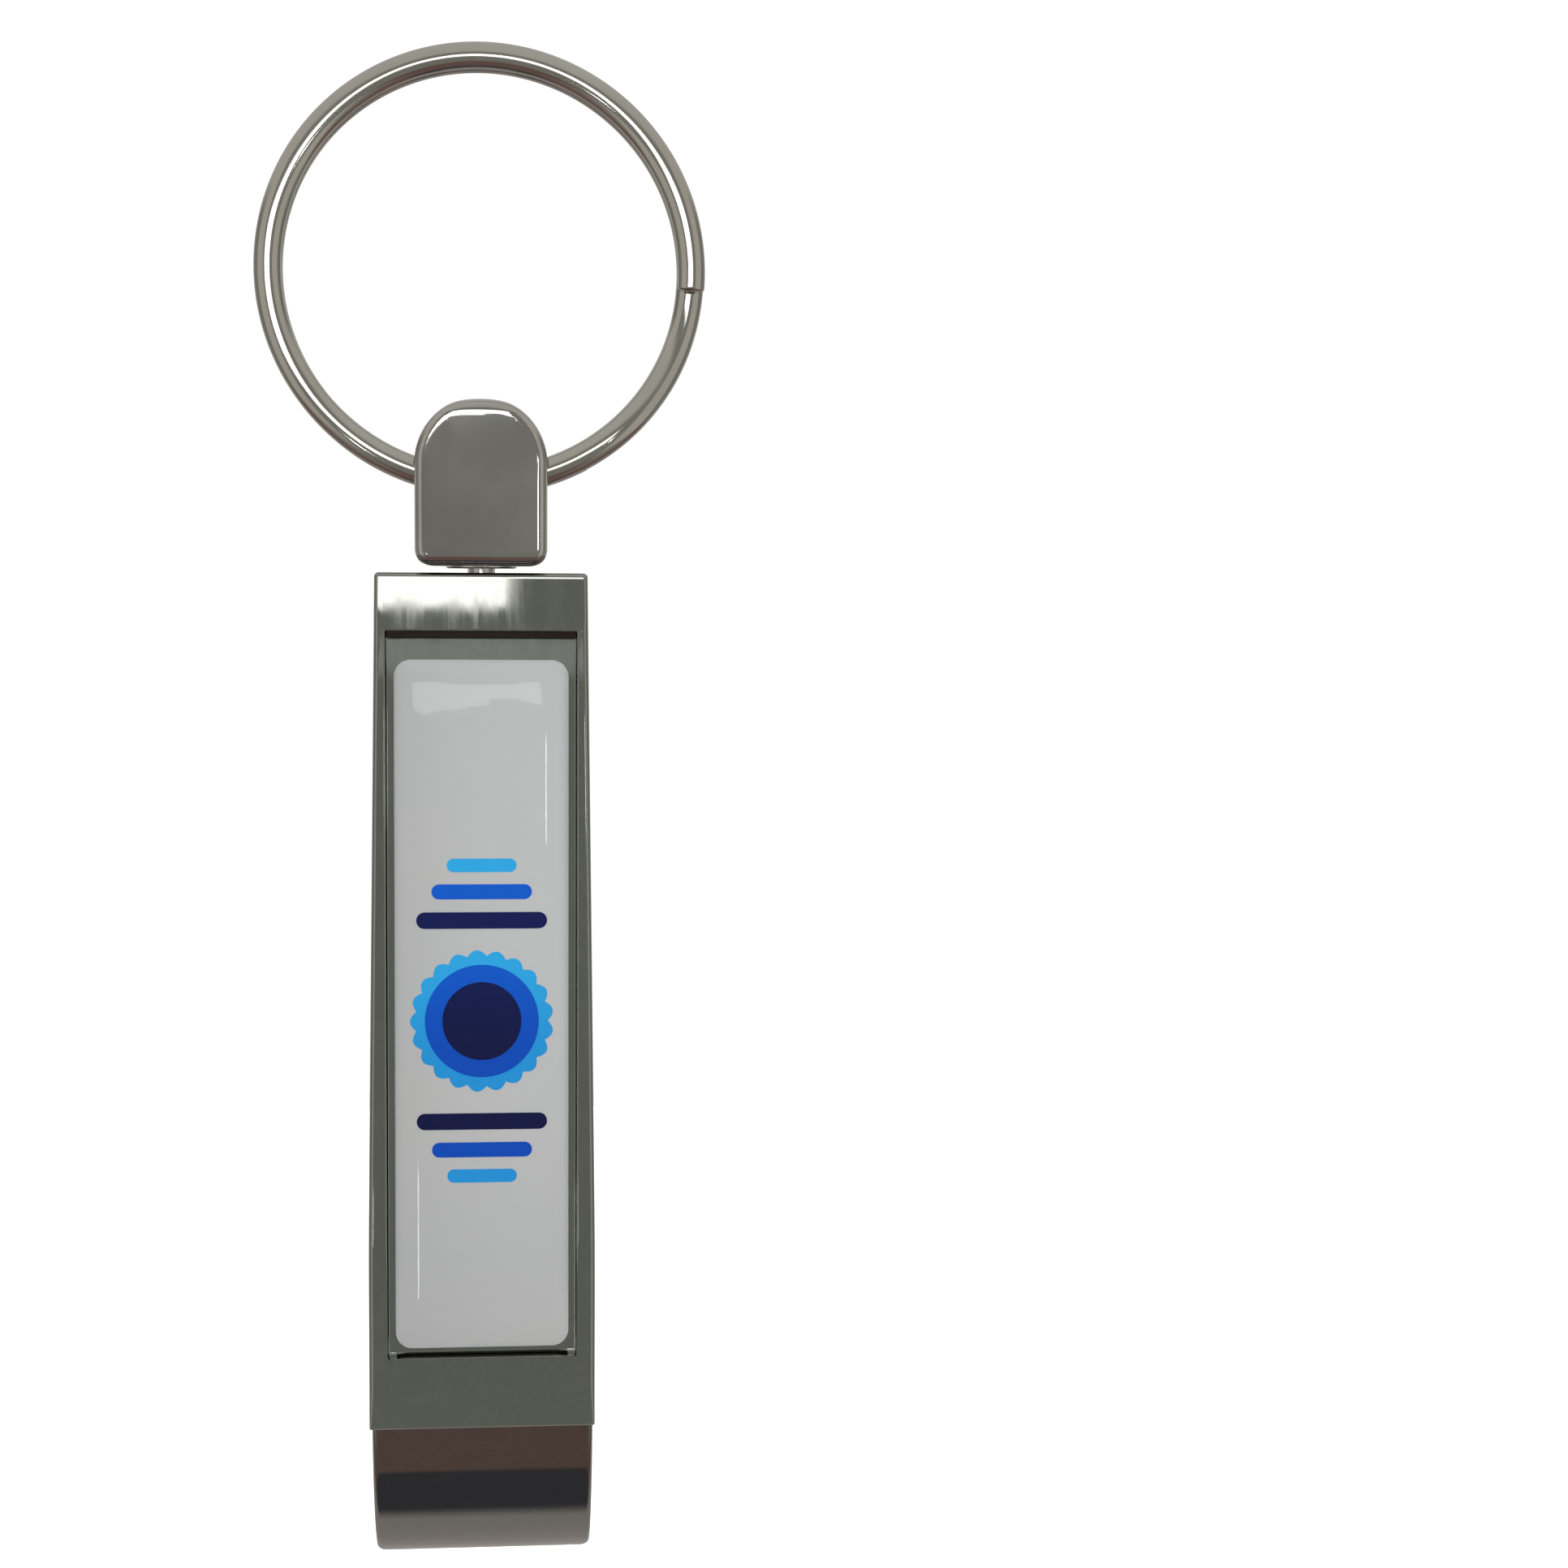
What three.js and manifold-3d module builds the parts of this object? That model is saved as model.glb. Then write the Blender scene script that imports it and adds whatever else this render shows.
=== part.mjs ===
// Keychain bottle opener: a split ring, a swivel eye riveted to a die-cast opener, and a domed label.
//
// Millimetres, +Z up. The object hangs by its ring: the origin is the top of the ring's bore, on the ring's
// mid-plane. The label faces -Y, the cap hook reaches towards +Y, and the width runs along X.

import * as THREE from 'three';
import { mergeVertices } from 'three/addons/utils/BufferGeometryUtils.js';
import Module from 'manifold-3d';

const wasm = await Module();
wasm.setup();

// ---------------------------------------------------------------- driving dimensions

// Split ring: two turns of oval wire.
const RING_OUTER_R = 14.7;
const WIRE_RADIAL = 1.8;
const WIRE_AXIAL = 1.15;
const COIL_PITCH = 1.3;
const JOG_CENTRE_DEG = -33;
const JOG_SPAN_DEG = 56;

// Swivel eye: measured from the ring's wire, which runs through the hole along X.
const EYE_W = 8.6;
const EYE_D = 7.6;
const EYE_ABOVE_WIRE = 5.4;
const EYE_BELOW_WIRE = 5.7;
const EYE_HOLE_W = 4.6;
const EYE_HOLE_H = 5.9;
const EYE_FLOOR_T = 1.8;
const EYE_FLARE = 0.5;
const EYE_HOLE_CORNER_R = 0.8;
const EYE_FRONT_CORNER_R = 1.2;
const EYE_SIDE_CORNER_R = 0.9;

// Rivet and washer between the eye and the opener.
const EYE_TO_BODY = 0.3;
const RUNNING_GAP = 0.3;
const SHANK_R = 0.9;
const SHANK_BORE_R = 1.15;
const RIVET_HEAD_R = 1.8;
const RIVET_HEAD_H = 0.9;
const RIVET_TAIL_R = 1.25;
const RIVET_TAIL_H = 0.7;
const WASHER_R = 2.3;
const WASHER_T = 0.4;

// Opener casting. "back" runs from the front face towards the hook, "down" from the top edge.
const PLATE_T = 4.4;
const TOP_W = 13.9;
const BODY_W = 15;
const TAPER_END_DOWN = 45;
const BODY_L = 70;
const HOOK_REACH = 17.9;

// Radii of the casting's corners, seen from the side, then from the front.
const TOP_BACK_R = 0.9;
const TOP_FRONT_R = 0.3;
const JAW_FILLET_R = 5.3;
const NOSE_R = 1.8;
const TOOTH_R = 0.35;
const MOUTH_R = 3;
const LIP_INNER_R = 0.25;
const LIP_OUTER_R = 0.9;
const SLOT_R = 1;
const LIP_CORNER_R = 1.2;

// Label recess in the front face, and the label stack in it.
const RECESS_W = 12.5;
const RECESS_TOP_DOWN = 3.8;
const RECESS_BOTTOM_DOWN = 52.4;
const RECESS_DEPTH = 0.9;
const RECESS_END_SLOPE = 0.5;
const LABEL_W = 11.45;
const LABEL_TOP_DOWN = 5.7;
const LABEL_L = 45.8;
const LABEL_CORNER_R = 1.1;
const ADHESIVE_T = 0.15;
const FILM_T = 0.15;
const GLUE_LINE = 0.02;
const DOME_PROUD = 0.5;
const DOME_EDGE_DROP = 0.55;
const ADHESIVE_INSET = 0.15;

// Relief behind the label, where the rivet's tail is peened over.
const RELIEF_TOP_DOWN = 5.9;
const RELIEF_H = 2.2;
const RELIEF_W = 3.6;
const RELIEF_WALL = 0.7;

// ---------------------------------------------------------------- places

const RING_CENTRE_Z = -(RING_OUTER_R - WIRE_RADIAL);
const COIL_R = RING_OUTER_R - WIRE_RADIAL / 2;
const PIVOT_Z = RING_CENTRE_Z - COIL_R;
const EYE_FLOOR_TOP = -EYE_BELOW_WIRE + EYE_FLOOR_T;
const BODY_TOP_Z = PIVOT_Z - EYE_BELOW_WIRE - EYE_TO_BODY;

// How far a cutter reaches past what it cuts, and how far short of a half circle a half-round end stops.
const BEYOND = 1;
const HAIR = 0.01;

// ---------------------------------------------------------------- helpers

// A closed geometry as a solid that can be joined and cut.
function toSolid(geometry) {
  const bare = geometry.clone();
  bare.deleteAttribute('normal');
  bare.deleteAttribute('uv');
  const merged = mergeVertices(bare, 1e-5);
  return new wasm.Manifold(new wasm.Mesh({
    numProp: 3,
    vertProperties: new Float32Array(merged.attributes.position.array),
    triVerts: new Uint32Array(merged.index.array),
  }));
}

function toGeometry(solid) {
  const mesh = solid.getMesh();
  const geometry = new THREE.BufferGeometry();
  geometry.setAttribute('position', new THREE.BufferAttribute(mesh.vertProperties, 3));
  geometry.setIndex(new THREE.BufferAttribute(mesh.triVerts, 1));
  geometry.computeVertexNormals();
  return geometry;
}

function cut(geometry, ...cutters) {
  const solid = cutters.reduce((rest, cutter) => rest.subtract(toSolid(cutter)), toSolid(geometry));
  return toGeometry(solid);
}

function common(a, b) {
  return toGeometry(toSolid(a).intersect(toSolid(b)));
}

// A (back, height) outline given the width along X, centred on X.
function alongX(outline, width, curveSegments = 8) {
  const geometry = new THREE.ExtrudeGeometry(outline, { depth: width, bevelEnabled: false, curveSegments });
  const axes = new THREE.Matrix4().makeBasis(
    new THREE.Vector3(0, 1, 0),
    new THREE.Vector3(0, 0, 1),
    new THREE.Vector3(1, 0, 0),
  );
  return geometry.translate(0, 0, -width / 2).applyMatrix4(axes);
}

// An (x, height) outline given the depth along Y, from yFront back to yFront + depth.
function alongY(outline, yFront, depth, options = {}) {
  const settings = { bevelEnabled: false, curveSegments: 6, ...options, depth };
  const axes = new THREE.Matrix4().makeBasis(
    new THREE.Vector3(1, 0, 0),
    new THREE.Vector3(0, 0, 1),
    new THREE.Vector3(0, -1, 0),
  );
  return new THREE.ExtrudeGeometry(outline, settings).applyMatrix4(axes).translate(0, yFront + depth, 0);
}

// A [radius, height] profile turned about Z, which starts and ends on the axis or closes on itself.
function turned(profile, segments = 32) {
  const points = profile.map(([radius, height]) => new THREE.Vector2(radius, height));
  return new THREE.LatheGeometry(points, segments).rotateX(Math.PI / 2);
}

function rod(radius, zBottom, zTop) {
  return turned([[0, zBottom], [radius, zBottom], [radius, zTop], [0, zTop]]);
}

// Runs an outline straight towards a corner and rounds it off into the direction of the point after it.
function roundCorner(outline, corner, next, radius) {
  const from = outline.currentPoint;
  const here = new THREE.Vector2(...corner);
  const into = here.clone().sub(from).normalize();
  const out = new THREE.Vector2(...next).sub(here).normalize();
  const turn = Math.atan2(into.cross(out), into.dot(out));
  const reach = radius * Math.tan(Math.abs(turn) / 2);
  const start = here.clone().addScaledVector(into, -reach);
  const end = here.clone().addScaledVector(out, reach);
  const inward = new THREE.Vector2(-into.y, into.x).multiplyScalar(Math.sign(turn) * radius);
  const centre = start.clone().add(inward);
  outline.lineTo(start.x, start.y);
  outline.absarc(
    centre.x, centre.y, radius,
    start.sub(centre).angle(), end.sub(centre).angle(), turn < 0,
  );
}

// A rectangle from one height to another, centred on zero, with a radius for its lower corners and one for
// its upper corners.
function roundedRectangle(halfWidth, bottom, top, bottomRadius, topRadius) {
  const outline = new THREE.Shape();
  const corners = [[halfWidth, bottom], [halfWidth, top], [-halfWidth, top], [-halfWidth, bottom]];
  const radii = [bottomRadius, topRadius, topRadius, bottomRadius];
  outline.moveTo(0, bottom);
  corners.forEach((corner, i) => {
    const next = i < 3 ? corners[i + 1] : [0, bottom];
    roundCorner(outline, corner, next, radii[i]);
  });
  outline.closePath();
  return outline;
}

function material(color, roughness, metalness, extra = {}) {
  return new THREE.MeshStandardMaterial({ color, roughness, metalness, ...extra });
}

const brightNickel = material(0xc9c5b6, 0.14, 1);
const blackNickel = material(0x5a5e57, 0.12, 1);
const castEye = material(0x8c8a82, 0.12, 1);
const steel = material(0xa8a9a6, 0.3, 1);
const whiteVinyl = material(0xd8dadd, 0.45, 0);
const adhesive = material(0xb9b7ae, 0.6, 0);
const resin = material(0xeef2f5, 0.05, 0, { transparent: true, opacity: 0.35 });

const opener = new THREE.Group();

function addTo(group, name, geometry, look) {
  const mesh = new THREE.Mesh(geometry, look);
  mesh.name = name;
  group.add(mesh);
  return mesh;
}

// ---------------------------------------------------------------- split ring

// The wire's centre line: one turn on the front coil, a smooth jog to the back coil, and a second turn.
// Each cut end stops where the jog begins on its coil. The section stays square to the ring's axis.
class SplitRingLine extends THREE.Curve {
  constructor() {
    super();
    this.jog = THREE.MathUtils.degToRad(JOG_SPAN_DEG);
    this.start = THREE.MathUtils.degToRad(JOG_CENTRE_DEG) + this.jog / 2;
    this.sweep = 4 * Math.PI - this.jog;
  }

  angle(t) {
    return this.start + t * this.sweep;
  }

  getPoint(t, target = new THREE.Vector3()) {
    const intoJog = (t * this.sweep - (2 * Math.PI - this.jog)) / this.jog;
    const side = THREE.MathUtils.smootherstep(intoJog, 0, 1) - 0.5;
    const a = this.angle(t);
    return target.set(COIL_R * Math.cos(a), side * COIL_PITCH, COIL_R * Math.sin(a));
  }

  computeFrenetFrames(segments) {
    const frames = { tangents: [], normals: [], binormals: [] };
    for (let i = 0; i <= segments; i += 1) {
      const a = this.angle(i / segments);
      frames.tangents.push(new THREE.Vector3(-Math.sin(a), 0, Math.cos(a)));
      frames.normals.push(new THREE.Vector3(Math.cos(a), 0, Math.sin(a)));
      frames.binormals.push(new THREE.Vector3(0, 1, 0));
    }
    return frames;
  }
}

function wireSection() {
  return new THREE.Shape().absellipse(0, 0, WIRE_RADIAL / 2, WIRE_AXIAL / 2, 0, 2 * Math.PI);
}

function splitRing() {
  return new THREE.ExtrudeGeometry(wireSection(), {
    steps: 112,
    curveSegments: 6,
    extrudePath: new SplitRingLine(),
  }).translate(0, 0, RING_CENTRE_Z);
}

// ---------------------------------------------------------------- swivel eye

// Heights in the eye are measured from the ring's wire.
function eyeHole() {
  const top = EYE_FLOOR_TOP + EYE_HOLE_H;
  return roundedRectangle(EYE_HOLE_W / 2, EYE_FLOOR_TOP, top, EYE_HOLE_CORNER_R, EYE_HOLE_W / 2 - HAIR);
}

// Widens the mouth of the hole on one side, 1 for +X and -1 for -X.
function eyeFlare(side) {
  const flare = new THREE.ExtrudeGeometry(eyeHole(), {
    depth: BEYOND,
    bevelThickness: 2 * EYE_FLARE,
    bevelSize: EYE_FLARE,
    bevelSegments: 1,
    curveSegments: 6,
  });
  const axes = new THREE.Matrix4().makeBasis(
    new THREE.Vector3(0, side, 0),
    new THREE.Vector3(0, 0, 1),
    new THREE.Vector3(side, 0, 0),
  );
  return flare.applyMatrix4(axes).translate(side * EYE_W / 2, 0, 0);
}

function swivelEye() {
  const bottom = -EYE_BELOW_WIRE;
  const front = roundedRectangle(EYE_W / 2, bottom, EYE_ABOVE_WIRE, EYE_FRONT_CORNER_R, EYE_W / 2 - HAIR);
  const side = roundedRectangle(EYE_D / 2, bottom, EYE_ABOVE_WIRE, EYE_SIDE_CORNER_R, EYE_SIDE_CORNER_R);
  const block = common(alongY(front, -EYE_D, 2 * EYE_D), alongX(side, 2 * EYE_W));
  const seatTop = bottom - EYE_TO_BODY + WASHER_T + 2 * RUNNING_GAP;
  const washerSeat = rod(WASHER_R + RUNNING_GAP, bottom - BEYOND, seatTop);
  const bore = rod(SHANK_BORE_R, bottom - BEYOND, EYE_FLOOR_TOP + BEYOND / 2);
  return cut(block, alongX(eyeHole(), 2 * EYE_W), eyeFlare(1), eyeFlare(-1), washerSeat, bore);
}

// ---------------------------------------------------------------- rivet and washer

// Heights here are measured from the top of the opener's casting.
function rivet() {
  const headSeat = EYE_TO_BODY + EYE_FLOOR_T + RUNNING_GAP;
  const tailTop = -RELIEF_TOP_DOWN - RUNNING_GAP;
  const profile = [
    [0, tailTop - RIVET_TAIL_H],
    [RIVET_TAIL_R * 0.8, tailTop - RIVET_TAIL_H],
    [RIVET_TAIL_R, tailTop - RIVET_TAIL_H / 2],
    [RIVET_TAIL_R, tailTop],
    [SHANK_R, tailTop],
    [SHANK_R, headSeat],
    [RIVET_HEAD_R, headSeat],
  ];
  const domeSteps = 5;
  for (let i = 1; i <= domeSteps; i += 1) {
    const a = (i / domeSteps) * (Math.PI / 2);
    profile.push([i === domeSteps ? 0 : RIVET_HEAD_R * Math.cos(a), headSeat + RIVET_HEAD_H * Math.sin(a)]);
  }
  return turned(profile, 24);
}

function thrustWasher() {
  const bottom = RUNNING_GAP;
  const top = bottom + WASHER_T;
  const inner = SHANK_BORE_R;
  return turned([[inner, bottom], [WASHER_R, bottom], [WASHER_R, top], [inner, top], [inner, bottom]], 24);
}

// ---------------------------------------------------------------- opener casting

// The casting's outline from the side, as (back, -down).
function sideOutline() {
  const outline = new THREE.Shape();
  const jawStart = [PLATE_T, -37.55];
  const nose = [17.7, -45.8];
  const tooth = [15.95, -50.15];
  const toothSide = [14.5, -49.1];
  const mouth = new THREE.Vector2(12.35, -51.2);
  const lipTop = [HOOK_REACH, -67.9];
  const lipBottom = [HOOK_REACH, -BODY_L];
  const tailTop = 4.45;
  const slot = new THREE.Vector2(3.2, -44.2);
  outline.moveTo(TOP_FRONT_R, 0);
  roundCorner(outline, [PLATE_T, 0], jawStart, TOP_BACK_R);
  roundCorner(outline, jawStart, nose, JAW_FILLET_R);
  roundCorner(outline, nose, tooth, NOSE_R);
  roundCorner(outline, tooth, toothSide, TOOTH_R);
  // Up over the mouth, from the tooth round to the casting's web.
  const toothAngle = Math.atan2(toothSide[1] - mouth.y, toothSide[0] - mouth.x);
  outline.lineTo(mouth.x + MOUTH_R * Math.cos(toothAngle), mouth.y + MOUTH_R * Math.sin(toothAngle));
  outline.absarc(mouth.x, mouth.y, MOUTH_R, toothAngle, Math.PI, false);
  // Down the inside of the tail to the lip, round its end, and back along the outside.
  outline.lineTo(mouth.x - MOUTH_R, -55.5);
  outline.bezierCurveTo(mouth.x - MOUTH_R, -62, 12.6, -66.8, 17.3, -67.78);
  roundCorner(outline, lipTop, lipBottom, LIP_INNER_R);
  roundCorner(outline, lipBottom, [tailTop, -BODY_L], LIP_OUTER_R);
  outline.lineTo(16.3, -BODY_L);
  outline.bezierCurveTo(10.4, -BODY_L, tailTop, -62.3, tailTop, -55.5);
  // The wedge slot between the tail and the plate, and the plate's tapered tip.
  outline.lineTo(slot.x + SLOT_R, slot.y);
  outline.absarc(slot.x, slot.y, SLOT_R, 0, Math.PI, false);
  outline.lineTo(slot.x - SLOT_R, -50);
  outline.quadraticCurveTo(2.15, -54.6, 1.15, -56.95);
  outline.quadraticCurveTo(0.85, -57.2, 0.6, -56.9);
  outline.quadraticCurveTo(0.25, -50.5, 0, -44.5);
  roundCorner(outline, [0, 0], [TOP_FRONT_R, 0], TOP_FRONT_R - HAIR);
  outline.closePath();
  return outline;
}

// The casting's outline from the front, as (x, -down): it widens from the top edge to the end of the taper.
function frontOutline() {
  const outline = new THREE.Shape();
  outline.moveTo(0, BEYOND);
  outline.lineTo(-TOP_W / 2, BEYOND);
  outline.lineTo(-TOP_W / 2, 0);
  outline.lineTo(-BODY_W / 2, -TAPER_END_DOWN);
  roundCorner(outline, [-BODY_W / 2, -BODY_L], [0, -BODY_L], LIP_CORNER_R);
  roundCorner(outline, [BODY_W / 2, -BODY_L], [BODY_W / 2, 0], LIP_CORNER_R);
  outline.lineTo(BODY_W / 2, -TAPER_END_DOWN);
  outline.lineTo(TOP_W / 2, 0);
  outline.lineTo(TOP_W / 2, BEYOND);
  outline.closePath();
  return outline;
}

// The label recess, with sloped ends, as (back, -down).
function recessOutline() {
  const outline = new THREE.Shape();
  outline.moveTo(-BEYOND, -RECESS_TOP_DOWN);
  outline.lineTo(0, -RECESS_TOP_DOWN);
  outline.lineTo(RECESS_DEPTH, -RECESS_TOP_DOWN - RECESS_END_SLOPE);
  outline.lineTo(RECESS_DEPTH, -RECESS_BOTTOM_DOWN + RECESS_END_SLOPE);
  outline.lineTo(0, -RECESS_BOTTOM_DOWN);
  outline.lineTo(-BEYOND, -RECESS_BOTTOM_DOWN);
  outline.closePath();
  return outline;
}

function reliefBox() {
  const back = PLATE_T - RELIEF_WALL;
  return new THREE.BoxGeometry(RELIEF_W, back, RELIEF_H)
    .translate(0, back / 2, -RELIEF_TOP_DOWN - RELIEF_H / 2);
}

// The casting is drawn with y = 0 on its front face, then set so that the rivet's bore is mid-plate.
function openerBody() {
  const casting = common(
    alongX(sideOutline(), BODY_W + 2 * BEYOND),
    alongY(frontOutline(), -BEYOND, HOOK_REACH + 2 * BEYOND),
  );
  const bore = rod(SHANK_BORE_R, -RELIEF_TOP_DOWN - BEYOND / 2, BEYOND).translate(0, PLATE_T / 2, 0);
  const shaped = cut(casting, alongX(recessOutline(), RECESS_W), reliefBox(), bore);
  return shaped.translate(0, -PLATE_T / 2, 0);
}

// ---------------------------------------------------------------- label

const FILM_BACK = RECESS_DEPTH - GLUE_LINE - ADHESIVE_T - GLUE_LINE;
const DOME_BACK = FILM_BACK - FILM_T - GLUE_LINE;

function labelOutline(inset) {
  const top = -LABEL_TOP_DOWN - inset;
  const bottom = -LABEL_TOP_DOWN - LABEL_L + inset;
  const radius = LABEL_CORNER_R - inset;
  return roundedRectangle(LABEL_W / 2 - inset, bottom, top, radius, radius);
}

// A flat layer of the label, its back face this far behind the casting's front face.
function labelLayer(back, thickness, inset) {
  return alongY(labelOutline(inset), back - thickness - PLATE_T / 2, thickness);
}

function labelAdhesive() {
  return labelLayer(RECESS_DEPTH - GLUE_LINE, ADHESIVE_T, ADHESIVE_INSET);
}

// The poured dome: the label's outline, rounded off towards the front.
function labelDome() {
  const flatFront = DOME_EDGE_DROP - DOME_PROUD;
  const rounded = alongY(labelOutline(DOME_EDGE_DROP), flatFront, DOME_BACK + DOME_PROUD, {
    bevelEnabled: true,
    bevelThickness: DOME_EDGE_DROP,
    bevelSize: DOME_EDGE_DROP,
    bevelSegments: 3,
  });
  const behind = new THREE.BoxGeometry(2 * LABEL_W, 2 * BEYOND, 2 * LABEL_L)
    .translate(0, DOME_BACK + BEYOND, -LABEL_TOP_DOWN - LABEL_L / 2);
  return cut(rounded, behind).translate(0, -PLATE_T / 2, 0);
}

// ---------------------------------------------------------------- assembly

addTo(opener, 'split_ring', splitRing(), brightNickel);

const eyeGroup = new THREE.Group();
eyeGroup.position.z = PIVOT_Z;
addTo(eyeGroup, 'swivel_eye', swivelEye(), castEye);
opener.add(eyeGroup);

const bodyGroup = new THREE.Group();
bodyGroup.position.z = BODY_TOP_Z;
addTo(bodyGroup, 'swivel_rivet', rivet(), steel);
addTo(bodyGroup, 'thrust_washer', thrustWasher(), steel);
addTo(bodyGroup, 'opener_body', openerBody(), blackNickel);
addTo(bodyGroup, 'label_adhesive', labelAdhesive(), adhesive);
addTo(bodyGroup, 'label_film', labelLayer(FILM_BACK, FILM_T, 0), whiteVinyl);
addTo(bodyGroup, 'label_dome', labelDome(), resin);
opener.add(bodyGroup);

export default opener;
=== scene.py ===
"""Keychain bottle opener, looks: every visible piece, its material, the studio and the camera.

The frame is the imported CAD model. Metres, +Z up: the ring's bore is on top, the label faces -Y, the cap
hook reaches towards +Y. Casting places are (back, down): behind the label face, and below the top edge.
"""
import math

import bmesh
import bpy
import numpy as np
from mathutils import Euler, Matrix, Vector, geometry


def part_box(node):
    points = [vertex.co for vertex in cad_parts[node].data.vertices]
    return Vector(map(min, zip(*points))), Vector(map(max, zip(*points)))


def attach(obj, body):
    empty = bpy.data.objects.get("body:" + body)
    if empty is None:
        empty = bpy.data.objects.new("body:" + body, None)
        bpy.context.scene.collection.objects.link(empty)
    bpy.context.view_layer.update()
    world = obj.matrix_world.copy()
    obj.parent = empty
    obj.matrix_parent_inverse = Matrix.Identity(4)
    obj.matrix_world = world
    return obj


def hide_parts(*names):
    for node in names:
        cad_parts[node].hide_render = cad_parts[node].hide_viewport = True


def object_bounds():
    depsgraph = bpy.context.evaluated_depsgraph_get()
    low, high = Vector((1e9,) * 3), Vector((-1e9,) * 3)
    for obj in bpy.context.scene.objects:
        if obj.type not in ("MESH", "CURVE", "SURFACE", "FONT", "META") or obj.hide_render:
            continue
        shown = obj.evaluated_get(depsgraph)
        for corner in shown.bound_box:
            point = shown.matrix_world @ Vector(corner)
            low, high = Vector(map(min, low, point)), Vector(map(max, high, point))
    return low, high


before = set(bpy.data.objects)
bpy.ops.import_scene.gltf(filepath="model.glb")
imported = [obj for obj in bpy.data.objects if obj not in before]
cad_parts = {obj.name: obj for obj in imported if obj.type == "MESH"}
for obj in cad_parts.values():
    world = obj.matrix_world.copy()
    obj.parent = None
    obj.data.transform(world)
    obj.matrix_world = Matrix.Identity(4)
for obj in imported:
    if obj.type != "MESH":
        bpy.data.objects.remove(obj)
cad_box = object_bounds()

MM = 0.001
WELD = 1e-8

# ---------------------------------------------------------------- places from the frame

ring_lo, ring_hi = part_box("split_ring")
eye_lo, eye_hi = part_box("swivel_eye")
body_lo, body_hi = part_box("opener_body")
rivet_lo, rivet_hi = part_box("swivel_rivet")
washer_lo, washer_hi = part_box("thrust_washer")
film_lo, film_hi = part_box("label_film")
adhesive_lo, adhesive_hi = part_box("label_adhesive")
dome_lo, dome_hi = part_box("label_dome")

# ---------------------------------------------------------------- sizes, in mm unless they say otherwise

WIRE_RADIAL = 1.8
WIRE_AXIAL = 1.15
WIRE_END_ROUND = 0.22
JOG_CENTRE_DEG = -33
JOG_SPAN_DEG = 56

EYE_FLOOR_T = 1.8
EYE_HOLE_W = 4.6
EYE_HOLE_H = 5.9
EYE_HOLE_CORNER = 0.8
EYE_CORNER_FRONT = 1.25
EYE_CORNER_SIDE = 0.9
EYE_CROWN = 0.2
EYE_DRAFT = 0.045
EYE_EDGE_R = 0.52
EYE_MOUTH_R = 0.3
SHANK_BORE_R = 1.15
SHANK_R = 0.9
RIVET_TAIL_R = 1.25
RIVET_CHAMFER = 0.12
WASHER_EDGE_R = 0.1
RUNNING_GAP = 0.3

PLATE_T = 4.4
TOP_HALF_W = 6.95
HALF_W = 7.5
TAPER_END_DOWN = 45
BODY_L = 70
HOOK_REACH = 17.9
LIP_CORNER = 1.2
EDGE_GROWTH = 0.3
SIDE_POINT_GAP = 0.12
TAPER_BLEND = 0.03
RECESS_HALF_W = 6.25
RECESS_TOP = 3.8
RECESS_BOTTOM = 52.4
RECESS_DEPTH = 0.9
RECESS_SLOPE_RUN = 0.5
RECESS_RIM_R = 0.12
RECESS_BEND = 0.07
RELIEF_TOP = 5.9
RELIEF_H = 2.2
RELIEF_W = 3.6
RELIEF_WALL = 0.7

LABEL_CORNER_R = 1.1
ADHESIVE_INSET = 0.15
SHEET_BROKEN_EDGE = 0.02
DOME_FOOT = 0.12
DOME_CREST = 0.02
DOME_FULLNESS = 5.5
INK_T = 0.004
INK_GAP = 0.004
INK_LEVEL_GAP = 0.001
PRINT_MIDDLE_DOWN = 29.6


# ---------------------------------------------------------------- meshes

def mesh_from(name, points, faces):
    """A mesh of numbered points, with one face side outwards and its normals checked."""
    mesh = bpy.data.meshes.new(name)
    mesh.from_pydata([tuple(p) for p in points], [], faces)
    bm = bmesh.new()
    bm.from_mesh(mesh)
    bmesh.ops.recalc_face_normals(bm, faces=bm.faces)
    bm.to_mesh(mesh)
    bm.free()
    return mesh


def soften(mesh, sharp_deg):
    """Smooth shading, with an edge kept sharp where its faces meet at more than this angle."""
    bm = bmesh.new()
    bm.from_mesh(mesh)
    for face in bm.faces:
        face.smooth = True
    for edge in bm.edges:
        if len(edge.link_faces) == 2:
            edge.smooth = edge.calc_face_angle(0) < math.radians(sharp_deg)
    bm.to_mesh(mesh)
    bm.free()
    return mesh


class Skin:
    """Faces gathered from grids and fills that share their points wherever these fall together."""

    def __init__(self):
        self.points = []
        self.faces = []
        self.known = {}

    def number(self, point):
        key = tuple(round(c / WELD) for c in point)
        if key not in self.known:
            self.known[key] = len(self.points)
            self.points.append(point)
        return self.known[key]

    def face(self, numbers):
        ring = [n for i, n in enumerate(numbers) if n != numbers[i - 1]]
        if len(set(ring)) >= 3 and len(set(ring)) == len(ring):
            self.faces.append(ring)

    def grid(self, points, wrap_rows=False, wrap_columns=False):
        """points is rows x columns x 3; returns the grid's point numbers."""
        rows, columns, _ = points.shape
        numbers = [[self.number(tuple(p)) for p in row] for row in points]
        for i in range(rows if wrap_rows else rows - 1):
            for j in range(columns if wrap_columns else columns - 1):
                k, m = (i + 1) % rows, (j + 1) % columns
                self.face([numbers[i][j], numbers[k][j], numbers[k][m], numbers[i][m]])
        return numbers

    def mesh(self, name):
        return mesh_from(name, self.points, self.faces)


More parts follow.
